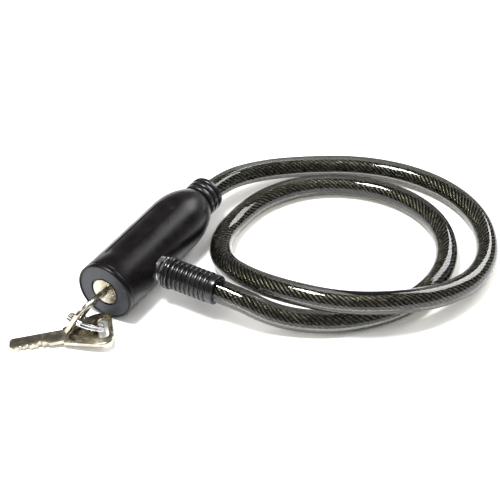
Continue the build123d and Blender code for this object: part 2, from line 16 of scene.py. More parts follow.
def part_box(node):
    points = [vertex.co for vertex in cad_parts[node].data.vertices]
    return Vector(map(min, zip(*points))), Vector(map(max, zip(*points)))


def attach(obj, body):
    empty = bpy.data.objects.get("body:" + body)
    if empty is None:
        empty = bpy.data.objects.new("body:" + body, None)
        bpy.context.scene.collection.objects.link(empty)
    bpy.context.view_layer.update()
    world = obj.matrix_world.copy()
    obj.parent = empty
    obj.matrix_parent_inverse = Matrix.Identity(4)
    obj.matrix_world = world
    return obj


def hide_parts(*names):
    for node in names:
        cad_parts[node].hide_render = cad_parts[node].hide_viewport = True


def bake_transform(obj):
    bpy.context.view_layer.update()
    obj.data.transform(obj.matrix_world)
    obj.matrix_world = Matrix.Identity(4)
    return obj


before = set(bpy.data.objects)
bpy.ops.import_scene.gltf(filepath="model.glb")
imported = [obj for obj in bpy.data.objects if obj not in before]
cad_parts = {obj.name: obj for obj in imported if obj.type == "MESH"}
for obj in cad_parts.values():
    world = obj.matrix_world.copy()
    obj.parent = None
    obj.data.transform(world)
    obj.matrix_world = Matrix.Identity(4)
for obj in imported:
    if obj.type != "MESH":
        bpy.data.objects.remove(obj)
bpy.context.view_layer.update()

MM = 0.001

# %% [markdown]
# ## One frame for everything
# The barrel's axis runs along Y and the plug's axis along X. They cross at the barrel's height
# above the table, so one point and one radius place every new piece. Both are read from the model,
# not typed.

# %% Where the two axes cross
cover_low, cover_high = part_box("outer_cover")
bolt_low, bolt_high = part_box("locking_bolt")
HEAD_R = (cover_high.z - cover_low.z) / 2
CROSSING = Vector(((cover_low.x + cover_high.x) / 2, (bolt_low.y + bolt_high.y) / 2, 0))


def place(x, y, z):
    """A point in millimetres from the crossing of the axes, as metres in the frame."""
    return CROSSING + Vector((x, y, z)) * MM


print("barrel radius", round(HEAD_R / MM, 2), "mm")

# %% [markdown]
# ## The camera
# A product picture of a lock this size is taken from about 0.7 m with a short telephoto lens, so
# the barrel shows little perspective. The camera stands a little to the right of the keyed face
# and looks down on the loops. Working out its place from two angles keeps it easy to change.

# %% Camera
CAMERA_TURN = radians(30)
CAMERA_RISE = radians(38)
CAMERA_FAR = 715
LENS, SENSOR_W = 96.8, 36      # millimetres, as on a real camera
LOOK_AT = place(42.5, 43.5, 10)
towards_camera = Vector((
    sin(CAMERA_TURN) * cos(CAMERA_RISE), -cos(CAMERA_TURN) * cos(CAMERA_RISE), sin(CAMERA_RISE)))
camera = bpy.data.objects.new("camera", bpy.data.cameras.new("camera"))
bpy.context.collection.objects.link(camera)
camera.data.lens = LENS
camera.data.sensor_width = SENSOR_W
camera.location = LOOK_AT + towards_camera * CAMERA_FAR * MM
camera.rotation_euler = (-towards_camera).to_track_quat("-Z", "Y").to_euler()
bpy.context.scene.camera = camera
print("camera at", [round(c, 3) for c in camera.location])

# %% [markdown]
# ## The cable's line
# A stiff cable never kinks: it lies in long even bends. A NURBS curve of order 3 does the same,
# because its control points pull the line without it passing through them. The points are the route
# of the solid in the engineering model, from the plug, round the loops and into the barrel's neck.

# %% Route of the cable
CABLE_R = 6.0
CABLE_ROUTE = [
    (37, 0, 16), (61, 0, 16), (81, 4.5, 8.4), (106, 17, CABLE_R), (127, 38, CABLE_R),
    (138, 65.5, CABLE_R), (135.5, 95.5, CABLE_R), (119, 120.5, CABLE_R), (93, 133, CABLE_R),
    (64, 131.5, CABLE_R), (38.5, 117.5, CABLE_R), (23, 94, CABLE_R), (19.6, 70.5, CABLE_R),
    (21.8, 47.5, 7.5), (35.5, 25.3, 11.8), (59, 13.6, 17.8), (85.5, 12.5, 20.2), (111, 18.5, 20.2),
    (133.5, 34.5, 18.4), (149, 57.5, 13), (155.5, 84.5, 8), (151.5, 112, CABLE_R),
    (136, 136.5, CABLE_R), (112, 151.5, CABLE_R), (84, 155.5, CABLE_R), (56, 149.5, CABLE_R),
    (31.5, 134.5, 6.6), (12, 110.5, 11.5), (0, 82, 16), (0, 56, 16),
]


def curve_object(name, splines, radius=0.0, roundness=2, smooth=False):
    """Curve through lists of points: smooth NURBS lines, or plain runs between close points."""
    curve = bpy.data.curves.new(name, "CURVE")
    curve.dimensions = "3D"
    curve.resolution_u = 16
    curve.bevel_depth = radius
    curve.bevel_resolution = roundness
    curve.use_fill_caps = radius > 0
    for points in splines:
        spline = curve.splines.new("NURBS" if smooth else "POLY")
        spline.points.add(len(points) - 1)
        for control, point in zip(spline.points, points):
            control.co = (*point, 1)
        if smooth:
            spline.order_u = 3
            spline.use_endpoint_u = True
    return bpy.data.objects.new(name, curve)


def mesh_of(source):
    """The mesh that a curve makes."""
    bpy.context.collection.objects.link(source)
    bpy.context.view_layer.update()
    mesh = bpy.data.meshes.new_from_object(source)
    bpy.data.objects.remove(source)
    return mesh


route = [place(*point) for point in CABLE_ROUTE]
line = [v.co.copy() for v in mesh_of(curve_object("line", [route], smooth=True)).vertices]

# %% [markdown]
# ## The sheath
# The sheath is a solid clear plastic round the rope, with no air between them. Modelled as one
# closed glass-like body, it bends the light as the real one does, and the rope inside looks half as
# wide again. A bevel on the curve makes the tube, and it is turned into a mesh.

# %% Sheath
def add_piece(name, mesh):
    """A new object from a mesh whose points are already in the frame."""
    piece = bpy.data.objects.new(name, mesh)
    bpy.context.collection.objects.link(piece)
    return piece


def shade_smooth(mesh, sharp_over):
    """Smooth shading, with creases where two faces meet at more than an angle in degrees."""
    for face in mesh.polygons:
        face.use_smooth = True
    mesh.set_sharp_from_angle(angle=radians(sharp_over))


tube = curve_object("sheath_curve", [route], CABLE_R * MM, roundness=22, smooth=True)
sheath_mesh = mesh_of(tube)
shade_smooth(sheath_mesh, 60)
sheath = add_piece("clear_sheath", sheath_mesh)
print("sheath", len(sheath_mesh.polygons), "faces")

# %% [markdown]
# ## Directions along the cable
# A wire rope is made of strands laid round each other in a helix. To wind them, each point of the
# line needs two directions square to it. They are carried from point to point and only turned as
# the line turns, so that nothing twists except the strands.

# %% Directions that never twist
def frames_along(points):
    """At each point: the point, the distance so far, and two directions square to the line."""
    tangents = [(b - a).normalized() for a, b in zip(points, points[1:])]
    side = tangents[0].orthogonal().normalized()
    frames, run = [], 0.0
    for i, point in enumerate(points):
        before, after = tangents[max(i - 1, 0)], tangents[min(i, len(tangents) - 1)]
        side = before.rotation_difference(after) @ side
        side = (side - after * side.dot(after)).normalized()
        run += (point - points[max(i - 1, 0)]).length
        frames.append((point, run, side, after.cross(side)))
    return frames


rope_frames = frames_along(line)
print("directions at", len(rope_frames), "points")

# %% [markdown]
# ## The rope
# Each strand follows the cable's own line, and its centre goes round it once for each length of
# lay, here to the right, like the thread of a common screw. A thin core fills the middle, as the
# heart strand does in a real rope.

# %% Strands of the rope
STRANDS = 8
STRAND_R = 0.70
STRAND_OUT = 1.8           # middle of a strand from the rope's middle
LAY_LONG = 23.0            # length in which a strand goes once round
ROPE_CORE_R = 1.25

strand_lines = []
for strand in range(STRANDS):
    start, strand_line = 2 * pi * strand / STRANDS, []
    for point, run, side, up in rope_frames:
        turn = start + 2 * pi * run / (LAY_LONG * MM)
        strand_line.append(point + (side * cos(turn) + up * sin(turn)) * STRAND_OUT * MM)
    strand_lines.append(strand_line)
strand_mesh = mesh_of(curve_object("strand_curves", strand_lines, STRAND_R * MM))
core_mesh = mesh_of(curve_object("core_curve", [line], ROPE_CORE_R * MM))
print("rope", STRANDS, "strands,", len(strand_mesh.polygons), "faces")

# %% [markdown]
# ## Room for the wires
# The wires of a strand are too fine to model one by one, so the finish draws them, and it needs to
# know where it is on the strand. The curve already gave each corner its place along the line. Here
# that becomes millimetres, and the other coordinate tells how far round the strand the corner is.

# %% Texture coordinates of the rope
def lay_out(mesh, centres):
    """Texture coordinates: u in millimetres along, v in turns round from the rope's inside."""
    turns_round = {}
    for loop, corner in zip(mesh.loops, mesh.uv_layers[0].data):
        ring, vertex = round(corner.uv.x * (len(line) - 1)), loop.vertex_index
        point, run, side, up = rope_frames[ring]
        if vertex not in turns_round:
            spot = mesh.vertices[vertex].co
            middle = min((centre[ring] for centre in centres), key=lambda c: (c - spot).length)
            out, offset = middle - point, spot - middle
            across = side.cross(up).cross(out)
            turns_round[vertex] = atan2(offset.dot(across), offset.dot(out)) / (2 * pi) + 0.5
        corner.uv = run / MM, turns_round[vertex]


lay_out(strand_mesh, strand_lines)
# The core between the strands gets the near-black of grease and painted shade.
for corner in core_mesh.uv_layers[0].data:
    corner.uv.y = 0            # the whole core counts as inside, where the grease and painted shade are
for mesh in (strand_mesh, core_mesh):
    shade_smooth(mesh, 60)
strands = add_piece("rope_strands", strand_mesh)
rope_core = add_piece("rope_core", core_mesh)
print("wires laid out on", len(strand_mesh.loops), "corners")

# %% [markdown]
# ## Turned and moulded pieces
# The cover, the boot and the rings are round about an axis. The section of each is drawn once as
# a closed line of corners, the corners are rounded with a vertex bevel, and a full spin turns the
# line into a solid. A spin keeps every ring of faces regular, so highlights run cleanly round the
# piece.

# %% A section spun round an axis
HEAD_AXIS = Matrix.Translation(place(0, 0, HEAD_R / MM)) @ Matrix.Rotation(radians(-90), 4, "X")
PLUG_AXIS = Matrix.Translation(place(0, 0, HEAD_R / MM)) @ Matrix.Rotation(radians(90), 4, "Y")


def spun(corners, axis, steps=96):
    """A bmesh spun from corners given as radius, place along the axis and rounding, in mm."""
    bm = bmesh.new()
    points = [bm.verts.new((r * MM, 0, along * MM)) for r, along, _ in corners]
    for a, b in zip(points, points[1:] + points[:1]):
        bm.edges.new((a, b))
    for rounding in sorted({corner[2] for corner in corners} - {0}):
        same = [point for point, corner in zip(points, corners) if corner[2] == rounding]
        bmesh.ops.bevel(bm, geom=same, offset=rounding * MM, affect="VERTICES", segments=4,
                        profile=0.5, material=-1)
    bmesh.ops.spin(bm, geom=bm.verts[:] + bm.edges[:], cent=(0, 0, 0), axis=(0, 0, 1),
                   angle=2 * pi, steps=steps, use_merge=True)
    bmesh.ops.remove_doubles(bm, verts=bm.verts, dist=0.001 * MM)
    bmesh.ops.transform(bm, matrix=axis, verts=bm.verts)
    bmesh.ops.recalc_face_normals(bm, faces=bm.faces)
    return bm


def finished(name, bm, sharp_over=35):
    """Store a bmesh as a smooth-shaded piece."""
    mesh = bpy.data.meshes.new(name)
    bm.to_mesh(mesh)
    bm.free()
    shade_smooth(mesh, sharp_over)
    print(name, len(mesh.polygons), "faces")
    return add_piece(name, mesh)


# %% [markdown]
# ## The barrel's cover
# The cover is moulded in rubbery plastic. Its side is straight, its rear draws in as a dome and a
# fine line runs round it behind the rim. The dome is two arcs that meet smoothly; each is worked
# out from its ends and its first direction, and gives the section a few more corners.

# %% Cover
FACE_Y, SHOULDER_Y, DOME_Y, NECK_Y = -30.0, 35.0, 51.5, 58.0
COVER_R, DOME_R, NECK_R, PLATE_R, HOUSING_R = 16.0, 12.9, 9.2, 14.63, 13.53
RIM_LINE_Y, RIM_LINE_W, RIM_LINE_DEPTH = -27.3, 0.6, 0.35
PANEL_FRONT, PANEL_REAR = -18.0, 31.0
PLATE_REAR, HOUSING_REAR, CABLE_HOLE_FRONT = -27.5, 40, 49      # steps of the hollow inside
CABLE_HOLE_R = CABLE_R + 0.05


def arc_corners(start, end, heading, count=8):
    """Corners on the arc that leaves start at a heading from the axis; also its last heading."""
    across, along = end[0] - start[0], end[1] - start[1]
    chord = (across ** 2 + along ** 2) ** 0.5
    half_turn = atan2(-across, along) - heading
    radius = chord / (2 * sin(half_turn))
    corners = []
    for i in range(1, count + 1):
        turned = heading + 2 * half_turn * i / count
        out = radius * (cos(turned) - cos(heading))
        back = radius * (sin(turned) - sin(heading))
        corners.append((start[0] + out, start[1] + back, 0))
    return corners, heading + 2 * half_turn


shoulder, dome_heading = arc_corners((COVER_R, SHOULDER_Y), (DOME_R, DOME_Y), 0)
crown, _ = arc_corners((DOME_R, DOME_Y), (NECK_R, NECK_Y), dome_heading, 5)
side_rows = [(COVER_R, y, 0)
             for y in (PANEL_FRONT, -12, -8, -4, 0, 4, 8, 12, 22, PANEL_REAR, SHOULDER_Y)]
cover_section = [
    (PLATE_R, FACE_Y, 0.2), (COVER_R, FACE_Y, 0.9), (COVER_R, RIM_LINE_Y, 0.1),
    (COVER_R - RIM_LINE_DEPTH, RIM_LINE_Y + RIM_LINE_W / 2, 0.1),
    (COVER_R, RIM_LINE_Y + RIM_LINE_W, 0.1), *side_rows, *shoulder, *crown[:-1],
    (NECK_R, NECK_Y, 0.3), (CABLE_HOLE_R, NECK_Y, 0), (CABLE_HOLE_R, CABLE_HOLE_FRONT, 0),
    (HOUSING_R, HOUSING_REAR, 0), (HOUSING_R, PLATE_REAR, 0), (PLATE_R, PLATE_REAR, 0)]
cover_bm = spun(cover_section, HEAD_AXIS, steps=120)
print("cover section has", len(cover_section), "corners")

# %% [markdown]
# ## The bare panel
# The top of the cover has a shallow rectangular recess, left plain. The spin's rows fall on its
# edges, so its faces are picked by their angle from the top and their place along the barrel, and
# one inset moves them inward and leaves a narrow slope round them.

# %% Recessed panel
PANEL_LEFT, PANEL_RIGHT = -27, 15      # degrees from the top
PANEL_DEPTH, PANEL_SLOPE = 0.25, 0.5
panel = []
for face in cover_bm.faces:
    middle = (face.calc_center_median() - place(0, 0, HEAD_R / MM)) / MM
    turn = degrees(atan2(middle.x, middle.z))
    outside = middle.xz.length > COVER_R - 0.1
    if outside and PANEL_LEFT < turn < PANEL_RIGHT and PANEL_FRONT < middle.y < PANEL_REAR:
        panel.append(face)
bmesh.ops.inset_region(cover_bm, faces=panel, thickness=PANEL_SLOPE * MM,
                       depth=-PANEL_DEPTH * MM, use_boundary=True, use_even_offset=True)
print("panel", len(panel), "faces")

# %% [markdown]
# ## The hole for the socket
# The plug's socket comes out of the barrel's side. Where a round hole meets a round barrel, the
# edge isn't a plain circle, so a boolean cuts it: a cylinder along the plug's axis is taken away.

# %% Hole in the cover
SOCKET_R, DRILL_LONG = 7.25, 8
cover = finished("soft_cover", cover_bm, 30)
drill = bmesh.new()
bmesh.ops.create_cone(drill, cap_ends=True, segments=64, radius1=SOCKET_R * MM,
                      radius2=SOCKET_R * MM, depth=DRILL_LONG * MM)
at_side = PLUG_AXIS @ Matrix.Translation((0, 0, COVER_R * MM))
bmesh.ops.transform(drill, matrix=at_side, verts=drill.verts)
cutter = finished("drill", drill)
cut = cover.modifiers.new("socket_hole", "BOOLEAN")
cut.operation, cut.object, cut.solver = "DIFFERENCE", cutter, "EXACT"
bpy.context.view_layer.update()
drilled = cover.evaluated_get(bpy.context.evaluated_depsgraph_get())
cut_mesh = bpy.data.meshes.new_from_object(drilled)
cover.modifiers.clear()
cover.data = cut_mesh
bpy.data.objects.remove(cutter)
shade_smooth(cut_mesh, 30)
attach(cover, "head")
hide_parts("outer_cover")
print("drilled cover", len(cut_mesh.polygons), "faces")

# %% [markdown]
# ## Boot and neck rings
# The ribs of the plug's boot let it flex. They are low and full, so each corner of a rib is rounded
# almost to its middle. The neck's rings are deeper, with clear gaps between them.

# %% Ribbed sleeves
BOOT_START, BOOT_END, NECK_END = 22.45, 49.0, 70.5
FIRST_RIB = 0.3      # plain stretch before the first rib


def ribbed_section(root_r, rib_r, bore_r, start, end, count, pitch, rib_w, rib_round, tail_r):
    """Section of a sleeve with raised ribs and a plain tail."""
    corners = [(bore_r, start, 0), (root_r, start, 0)]
    slope = (pitch - rib_w) / 4
    for i in range(count):
        low = start + FIRST_RIB + i * pitch
        high = low + 2 * slope + rib_w
        corners += [(root_r, low, 0), (rib_r, low + slope, rib_round),
                    (rib_r, high - slope, rib_round), (root_r, high, 0)]
    tail = start + FIRST_RIB + count * pitch
    return corners + [(root_r, tail, 0), (tail_r, tail + 0.5, 0.4),
                      (tail_r, end, 0.6), (bore_r, end, 0.3)]


boot_section = ribbed_section(root_r=7.05, rib_r=7.9, bore_r=5.0, start=BOOT_START, end=BOOT_END,
                              count=8, pitch=2.75, rib_w=1.7, rib_round=0.55, tail_r=7.65)
boot = finished("ribbed_boot", spun(boot_section, PLUG_AXIS), 50)
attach(boot, "free_end")
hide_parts("plug_boot")
neck_section = ribbed_section(root_r=8.3, rib_r=10.1, bore_r=6.03, start=NECK_Y, end=NECK_END,
                              count=3, pitch=3.9, rib_w=2.9, rib_round=0.7, tail_r=8.3)
neck = finished("neck_rings", spun(neck_section, HEAD_AXIS), 50)
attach(neck, "head")
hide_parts("neck_boot")

# %% [markdown]
# ## The flange
# A polished ring stands between the boot and the chrome collar. A fine groove runs round it, and
# both its edges are rounded, so each catches its own thin highlight.

# %% Flange
FLANGE_START, FLANGE_R, FLANGE_BORE_R = 19.05, 8.6, 5.0
GROOVE_FRONT, GROOVE_MIDDLE, GROOVE_REAR, GROOVE_R = 20.4, 20.75, 21.1, 7.9
flange = finished("gloss_flange", spun([
    (FLANGE_BORE_R, FLANGE_START, 0), (FLANGE_R, FLANGE_START, 0.6), (FLANGE_R, GROOVE_FRONT, 0.25),
    (GROOVE_R, GROOVE_MIDDLE, 0.2), (FLANGE_R, GROOVE_REAR, 0.25), (FLANGE_R, BOOT_START, 0.6),
    (FLANGE_BORE_R, BOOT_START, 0)], PLUG_AXIS))
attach(flange, "free_end")
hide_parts("plug_flange")

# %% [markdown]
# ## The sleeve round the key's plug
# The plug that the key turns sits in a fixed sleeve. Its front stands back from the plug's, and it
# is coloured near black as painted shade for that recess, so a dark ring shows round the bright
# plug.

# %% Sleeve of the key cylinder
SLEEVE_FRONT, SLEEVE_REAR, PLUG_HEAD_REAR = -28.9, -9.4, -28.15
SLEEVE_R, PLUG_HEAD_HOLE_R, PLUG_HOLE_R = 8.0, 7.05, 6.3
sleeve = finished("sleeve_dark_as_shade", spun([
    (PLUG_HEAD_HOLE_R, SLEEVE_FRONT, 0.15), (SLEEVE_R, SLEEVE_FRONT, 0.15),
    (SLEEVE_R, SLEEVE_REAR, 0), (PLUG_HOLE_R, SLEEVE_REAR, 0),
    (PLUG_HOLE_R, PLUG_HEAD_REAR, 0), (PLUG_HEAD_HOLE_R, PLUG_HEAD_REAR, 0)], HEAD_AXIS))
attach(sleeve, "head")
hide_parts("cylinder_barrel")

# %% [markdown]
# ## The split ring
# A split ring is one springy wire wound twice. Each turn lies flat, and a short jog takes the wire
# from one level to the other. Three spins of one circle make it: a flat turn, the jog, which climbs
# a little at each step, and the second flat turn.

# %% Split ring
RING_R, RING_WIRE_R, RING_STEP = 9.55, 0.75, 1.46
RING_CENTRE, RING_NORMAL = place(-1.1, -46.0, 7.6), Vector((0.04, 0.62, 0.785)).normalized()
RING_ENDS_AT, JOG_TURN, RING_END_GAP = 100, 24, 5      # degrees round the ring
FLAT_TURN = 360 - JOG_TURN - RING_END_GAP
FLAT_STEPS, JOG_STEPS = 110, 8
ring_x = Vector((1, 0, 0)) - RING_NORMAL * RING_NORMAL.x
ring_x.normalize()
ring_place = Matrix((ring_x, RING_NORMAL.cross(ring_x), RING_NORMAL)).transposed().to_4x4()
ring_place.translation = RING_CENTRE
ring_bm = bmesh.new()
wire = bmesh.ops.create_circle(
    ring_bm, cap_ends=False, segments=16, radius=RING_WIRE_R * MM)["verts"]
bmesh.ops.rotate(ring_bm, matrix=Matrix.Rotation(radians(90), 3, "X"), verts=wire)
bmesh.ops.translate(ring_bm, vec=(RING_R * MM, 0, -RING_STEP / 2 * MM), verts=wire)
start_turn = radians(RING_ENDS_AT + JOG_TURN / 2 + RING_END_GAP)
bmesh.ops.rotate(ring_bm, matrix=Matrix.Rotation(start_turn, 3, "Z"), verts=wire)
last = ring_bm.verts[:] + ring_bm.edges[:]
end_faces = [list(wire)]
for turn, steps, rise in ((FLAT_TURN, FLAT_STEPS, 0), (JOG_TURN, JOG_STEPS, RING_STEP),
                          (FLAT_TURN, FLAT_STEPS, 0)):
    last = bmesh.ops.spin(
        ring_bm, geom=last, cent=(0, 0, 0), axis=(0, 0, 1), dvec=(0, 0, rise / steps * MM),
        angle=radians(turn), steps=steps, use_merge=False)["geom_last"]
end_faces.append([v for v in last if isinstance(v, bmesh.types.BMVert)])
for rim in end_faces:
    bmesh.ops.contextual_create(ring_bm, geom=rim)
bmesh.ops.transform(ring_bm, matrix=ring_place, verts=ring_bm.verts)
bmesh.ops.recalc_face_normals(ring_bm, faces=ring_bm.faces)
ring = finished("wire_ring", ring_bm, 50)
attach(ring, "split_ring")
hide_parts("split_ring")

# %% [markdown]
# ## The keys
# A pressed key has no sharp edge: tumbling and plating round them all a little. The engineering
# keys have the right outline, bitting and groove, so each is copied, its loose triangles are
# merged and its flats joined, and every crisp edge is bevelled.

# %% Keys
KEY_EDGE, CRISP_OVER = 0.22, 30      # width of the rounding, and degrees between the faces


def softened(name, node):
    """A copy of a CAD node with its crisp edges bevelled."""
    bm = bmesh.new()
    bm.from_mesh(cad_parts[node].data)
    bmesh.ops.remove_doubles(bm, verts=bm.verts, dist=0.001 * MM)
    bmesh.ops.dissolve_limit(bm, angle_limit=radians(2), verts=bm.verts, edges=bm.edges)
    edges = [e for e in bm.edges
             if len(e.link_faces) == 2 and degrees(e.calc_face_angle()) > CRISP_OVER]
    bmesh.ops.bevel(bm, geom=edges, offset=KEY_EDGE * MM, affect="EDGES", segments=2, profile=0.5,
                    material=-1, clamp_overlap=True)
    return finished(name, bm)


home_key = softened("key_in_lock", "home_key")
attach(home_key, "home_key")
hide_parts("home_key")
spare_key = softened("key_on_ring", "spare_key")

# %% [markdown]
# ## The key on the ring
# A loose key lies either way up. This one is turned over about its own length, so that its cuts
# are on the near side, and moved a hair toward its bow, which keeps its tip where the engineering
# key's is. The turn is made in the mesh, so the object itself stays at the origin.

# %% Turn the spare key over
SPARE_BOW_END = place(11.6, -40.8, 4.8)
SPARE_HEADING, SPARE_RISE = radians(39), radians(5.3)
HALF_KEY_THICK = 0.95
SPARE_SHIFT, SPARE_SWING = 0.45, radians(0.55)
along = Vector((cos(SPARE_HEADING) * cos(SPARE_RISE), sin(SPARE_HEADING) * cos(SPARE_RISE),
                sin(SPARE_RISE)))
square = along.cross(Vector((-sin(SPARE_HEADING), cos(SPARE_HEADING), 0)))
on_line = SPARE_BOW_END + square * HALF_KEY_THICK * MM
shifted = Matrix.Translation(along * SPARE_SHIFT * MM) @ Matrix.Translation(on_line)
settled = shifted @ Matrix.Rotation(SPARE_SWING, 4, "Z")
spare_key.data.transform(settled @ Matrix.Rotation(pi, 4, along) @ Matrix.Translation(-on_line))
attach(spare_key, "spare_key")
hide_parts("spare_key")
print("spare key now spans", [round(c / MM, 1) for c in spare_key.dimensions], "mm")

# %% [markdown]
# ## Tools for nodes
# A finish is a small network of nodes. Four short functions keep each step on a line: they add a
# node, do a sum, stretch a range of values and start a group that several finishes share.

# %% Helpers for nodes
def add_node(tree, kind, settings=None, **inputs):
    """A node with some of its settings and inputs given; a socket given as a value is linked."""
    node = tree.nodes.new("ShaderNode" + kind)
    for name, value in (settings or {}).items():
        setattr(node, name, value)
    for name, value in inputs.items():
        numbered = name[0] == "i" and name[1:].isdigit()      # i0 is the first input, i1 the next
        target = node.inputs[int(name[1:]) if numbered else name]
        if isinstance(value, bpy.types.NodeSocket):
            tree.links.new(value, target)
        else:
            target.default_value = value
    return node


def maths(tree, operation, *values):
    """The result of a Math node."""
    inputs = {f"i{i}": value for i, value in enumerate(values)}
    return add_node(tree, "Math", {"operation": operation}, **inputs).outputs[0]


def ranged(tree, value, low, high, kind="SMOOTHSTEP"):
    """A Map Range node that makes low 0 and high 1."""
    node = add_node(tree, "MapRange", {"interpolation_type": kind}, Value=value)
    node.inputs["From Min"].default_value = low
    node.inputs["From Max"].default_value = high
    return node


def new_group(name, inputs, outputs):
    """An empty node group with named inputs and outputs."""
    group = bpy.data.node_groups.new(name, "ShaderNodeTree")
    for label, value in inputs.items():
        made = group.interface.new_socket(label, in_out="INPUT", socket_type="NodeSocketFloat")
        made.default_value = value
    for label in outputs:
        group.interface.new_socket(label, in_out="OUTPUT", socket_type="NodeSocketFloat")
    return group, group.nodes.new("NodeGroupInput"), group.nodes.new("NodeGroupOutput")


# %% [markdown]
# ## A surface effect that all finishes share
# Moulded rubber and plated metal both vary from place to place: fingers dull them, dust settles and
# edges rub bright. One node group makes a fine grain and broad patches once, and each finish sets
# its own amounts.

# %% Grain and patches
grain, grain_in, grain_out = new_group(
    "fine_grain", {"Grain mm": 0.3, "Patch mm": 9.0, "Rough low": 0.3, "Rough high": 0.5},
    ["Height", "Roughness", "Patches"])
where = add_node(grain, "TexCoord").outputs["Object"]
spots = add_node(grain, "VectorMath", {"operation": "SCALE"}, i0=where, Scale=1 / MM).outputs[0]
per_grain = maths(grain, "DIVIDE", 1.0, grain_in.outputs["Grain mm"])
per_patch = maths(grain, "DIVIDE", 1.0, grain_in.outputs["Patch mm"])
fine = add_node(grain, "TexNoise", Vector=spots, Scale=per_grain, Detail=3.0, Roughness=0.6)
broad = add_node(grain, "TexNoise", Vector=spots, Scale=per_patch, Detail=4.0, Roughness=0.6)
fine, broad = fine.outputs["Fac"], broad.outputs["Fac"]
rough = ranged(grain, maths(grain, "MULTIPLY_ADD", fine, 0.35, broad), 0.4, 0.95, "LINEAR")
grain.links.new(grain_in.outputs["Rough low"], rough.inputs["To Min"])
grain.links.new(grain_in.outputs["Rough high"], rough.inputs["To Max"])
patches = ranged(grain, broad, 0.38, 0.66)
grain.links.new(fine, grain_out.inputs["Height"])
grain.links.new(rough.outputs["Result"], grain_out.inputs["Roughness"])
grain.links.new(patches.outputs["Result"], grain_out.inputs["Patches"])
print("groups", [g.name for g in bpy.data.node_groups])

# %% [markdown]
# ## A finish from two colours
# Every finish is built alike: the patches mix a darker and a lighter colour, the grain gives a
# bump, and both vary the roughness. A function takes those amounts, and whatever is the same all
# over the surface goes straight to the shader.

# %% One way to make a finish
def new_finish(name, dark, light, grain_mm, patch_mm, rough_low, rough_high, bump, bump_mm,
               **plain):
    """A Principled material whose colour and roughness vary and whose grain is a bump."""
    material = bpy.data.materials.new(name)
    material.use_nodes = True
    tree = material.node_tree
    shader = tree.nodes["Principled BSDF"]
    effect = add_node(tree, "Group", {"node_tree": grain})
    for label, value in zip(("Grain mm", "Patch mm", "Rough low", "Rough high"),
                            (grain_mm, patch_mm, rough_low, rough_high)):
        effect.inputs[label].default_value = value
    colour = add_node(tree, "Mix", {"data_type": "RGBA"}, Factor=effect.outputs["Patches"],
                      i6=(*dark, 1), i7=(*light, 1))
    tree.links.new(colour.outputs[2], shader.inputs["Base Color"])
    tree.links.new(effect.outputs["Roughness"], shader.inputs["Roughness"])
    relief = add_node(tree, "Bump", Height=effect.outputs["Height"], Strength=bump,
                      Distance=bump_mm * MM)
    tree.links.new(relief.outputs["Normal"], shader.inputs["Normal"])
    for label, value in plain.items():
        shader.inputs[label.replace("_", " ")].default_value = value
    return material


# %% [markdown]
# ## The rubbers, plastics and metals
# The cover is dull purplish black plastic, the boot a smoother rubber and the flange polished, so
# they differ mostly in roughness. The keys are nickel-plated brass, warm and a little patchy. The
# numbers are the size of the grain and of the patches in millimetres, the two ends of the
# roughness, and the strength and depth of the bump.

# %% Finishes
finishes = {
    "cover_rubber": new_finish(
        "soft_black_cover", (0.0014, 0.0009, 0.0013), (0.0034, 0.0022, 0.0030),
        0.30, 7, 0.24, 0.38, 0.4, 0.05, Specular_IOR_Level=0.26),
    "plate_slate": new_finish(
        "slate_plate", (0.024, 0.027, 0.035), (0.036, 0.040, 0.050), 0.3, 6, 0.42, 0.6, 0.4, 0.03),
    "boot_rubber": new_finish(
        "black_boot", (0.003, 0.003, 0.0035), (0.007, 0.007, 0.008),
        0.18, 5, 0.20, 0.34, 0.3, 0.02, Specular_IOR_Level=0.5),
    "flange_black": new_finish(
        "gloss_black", (0.004, 0.004, 0.005), (0.009, 0.009, 0.010),
        0.5, 5, 0.06, 0.14, 0.1, 0.02, Coat_Weight=0.5),
    "zinc": new_finish(
        "cast_zinc", (0.38, 0.38, 0.39), (0.55, 0.55, 0.56),
        0.4, 5, 0.4, 0.6, 0.5, 0.04, Metallic=1.0),
    "nickel": new_finish(
        "plated_nickel", (0.38, 0.35, 0.27), (0.56, 0.525, 0.43),
        0.25, 5, 0.16, 0.34, 0.15, 0.01, Metallic=1.0),
    "steel": new_finish(
        "bright_steel", (0.42, 0.42, 0.43), (0.62, 0.62, 0.62),
        0.2, 4, 0.2, 0.36, 0.2, 0.01, Metallic=1.0),
    "chrome": new_finish(
        "chrome_plate", (0.62, 0.62, 0.63), (0.80, 0.80, 0.80),
        0.4, 5, 0.05, 0.16, 0.08, 0.01, Metallic=1.0),
    "rope": new_finish(
        "oiled_rope_painted_shade", (0.36, 0.355, 0.30), (0.74, 0.73, 0.61),
        0.35, 2.2, 0.22, 0.36, 0.3, 0.02, Metallic=1.0),
    # The sleeve's near black is painted shade for the recess round the key's plug.
    "sleeve": new_finish(
        "sleeve_painted_shade", (0.012, 0.011, 0.010), (0.030, 0.028, 0.026),
        0.3, 4, 0.35, 0.55, 0.3, 0.02),
    "seal": new_finish(
        "black_seal", (0.02, 0.02, 0.02), (0.035, 0.035, 0.035), 0.2, 3, 0.4, 0.6, 0.3, 0.02),
}
print("finishes", sorted(finishes))
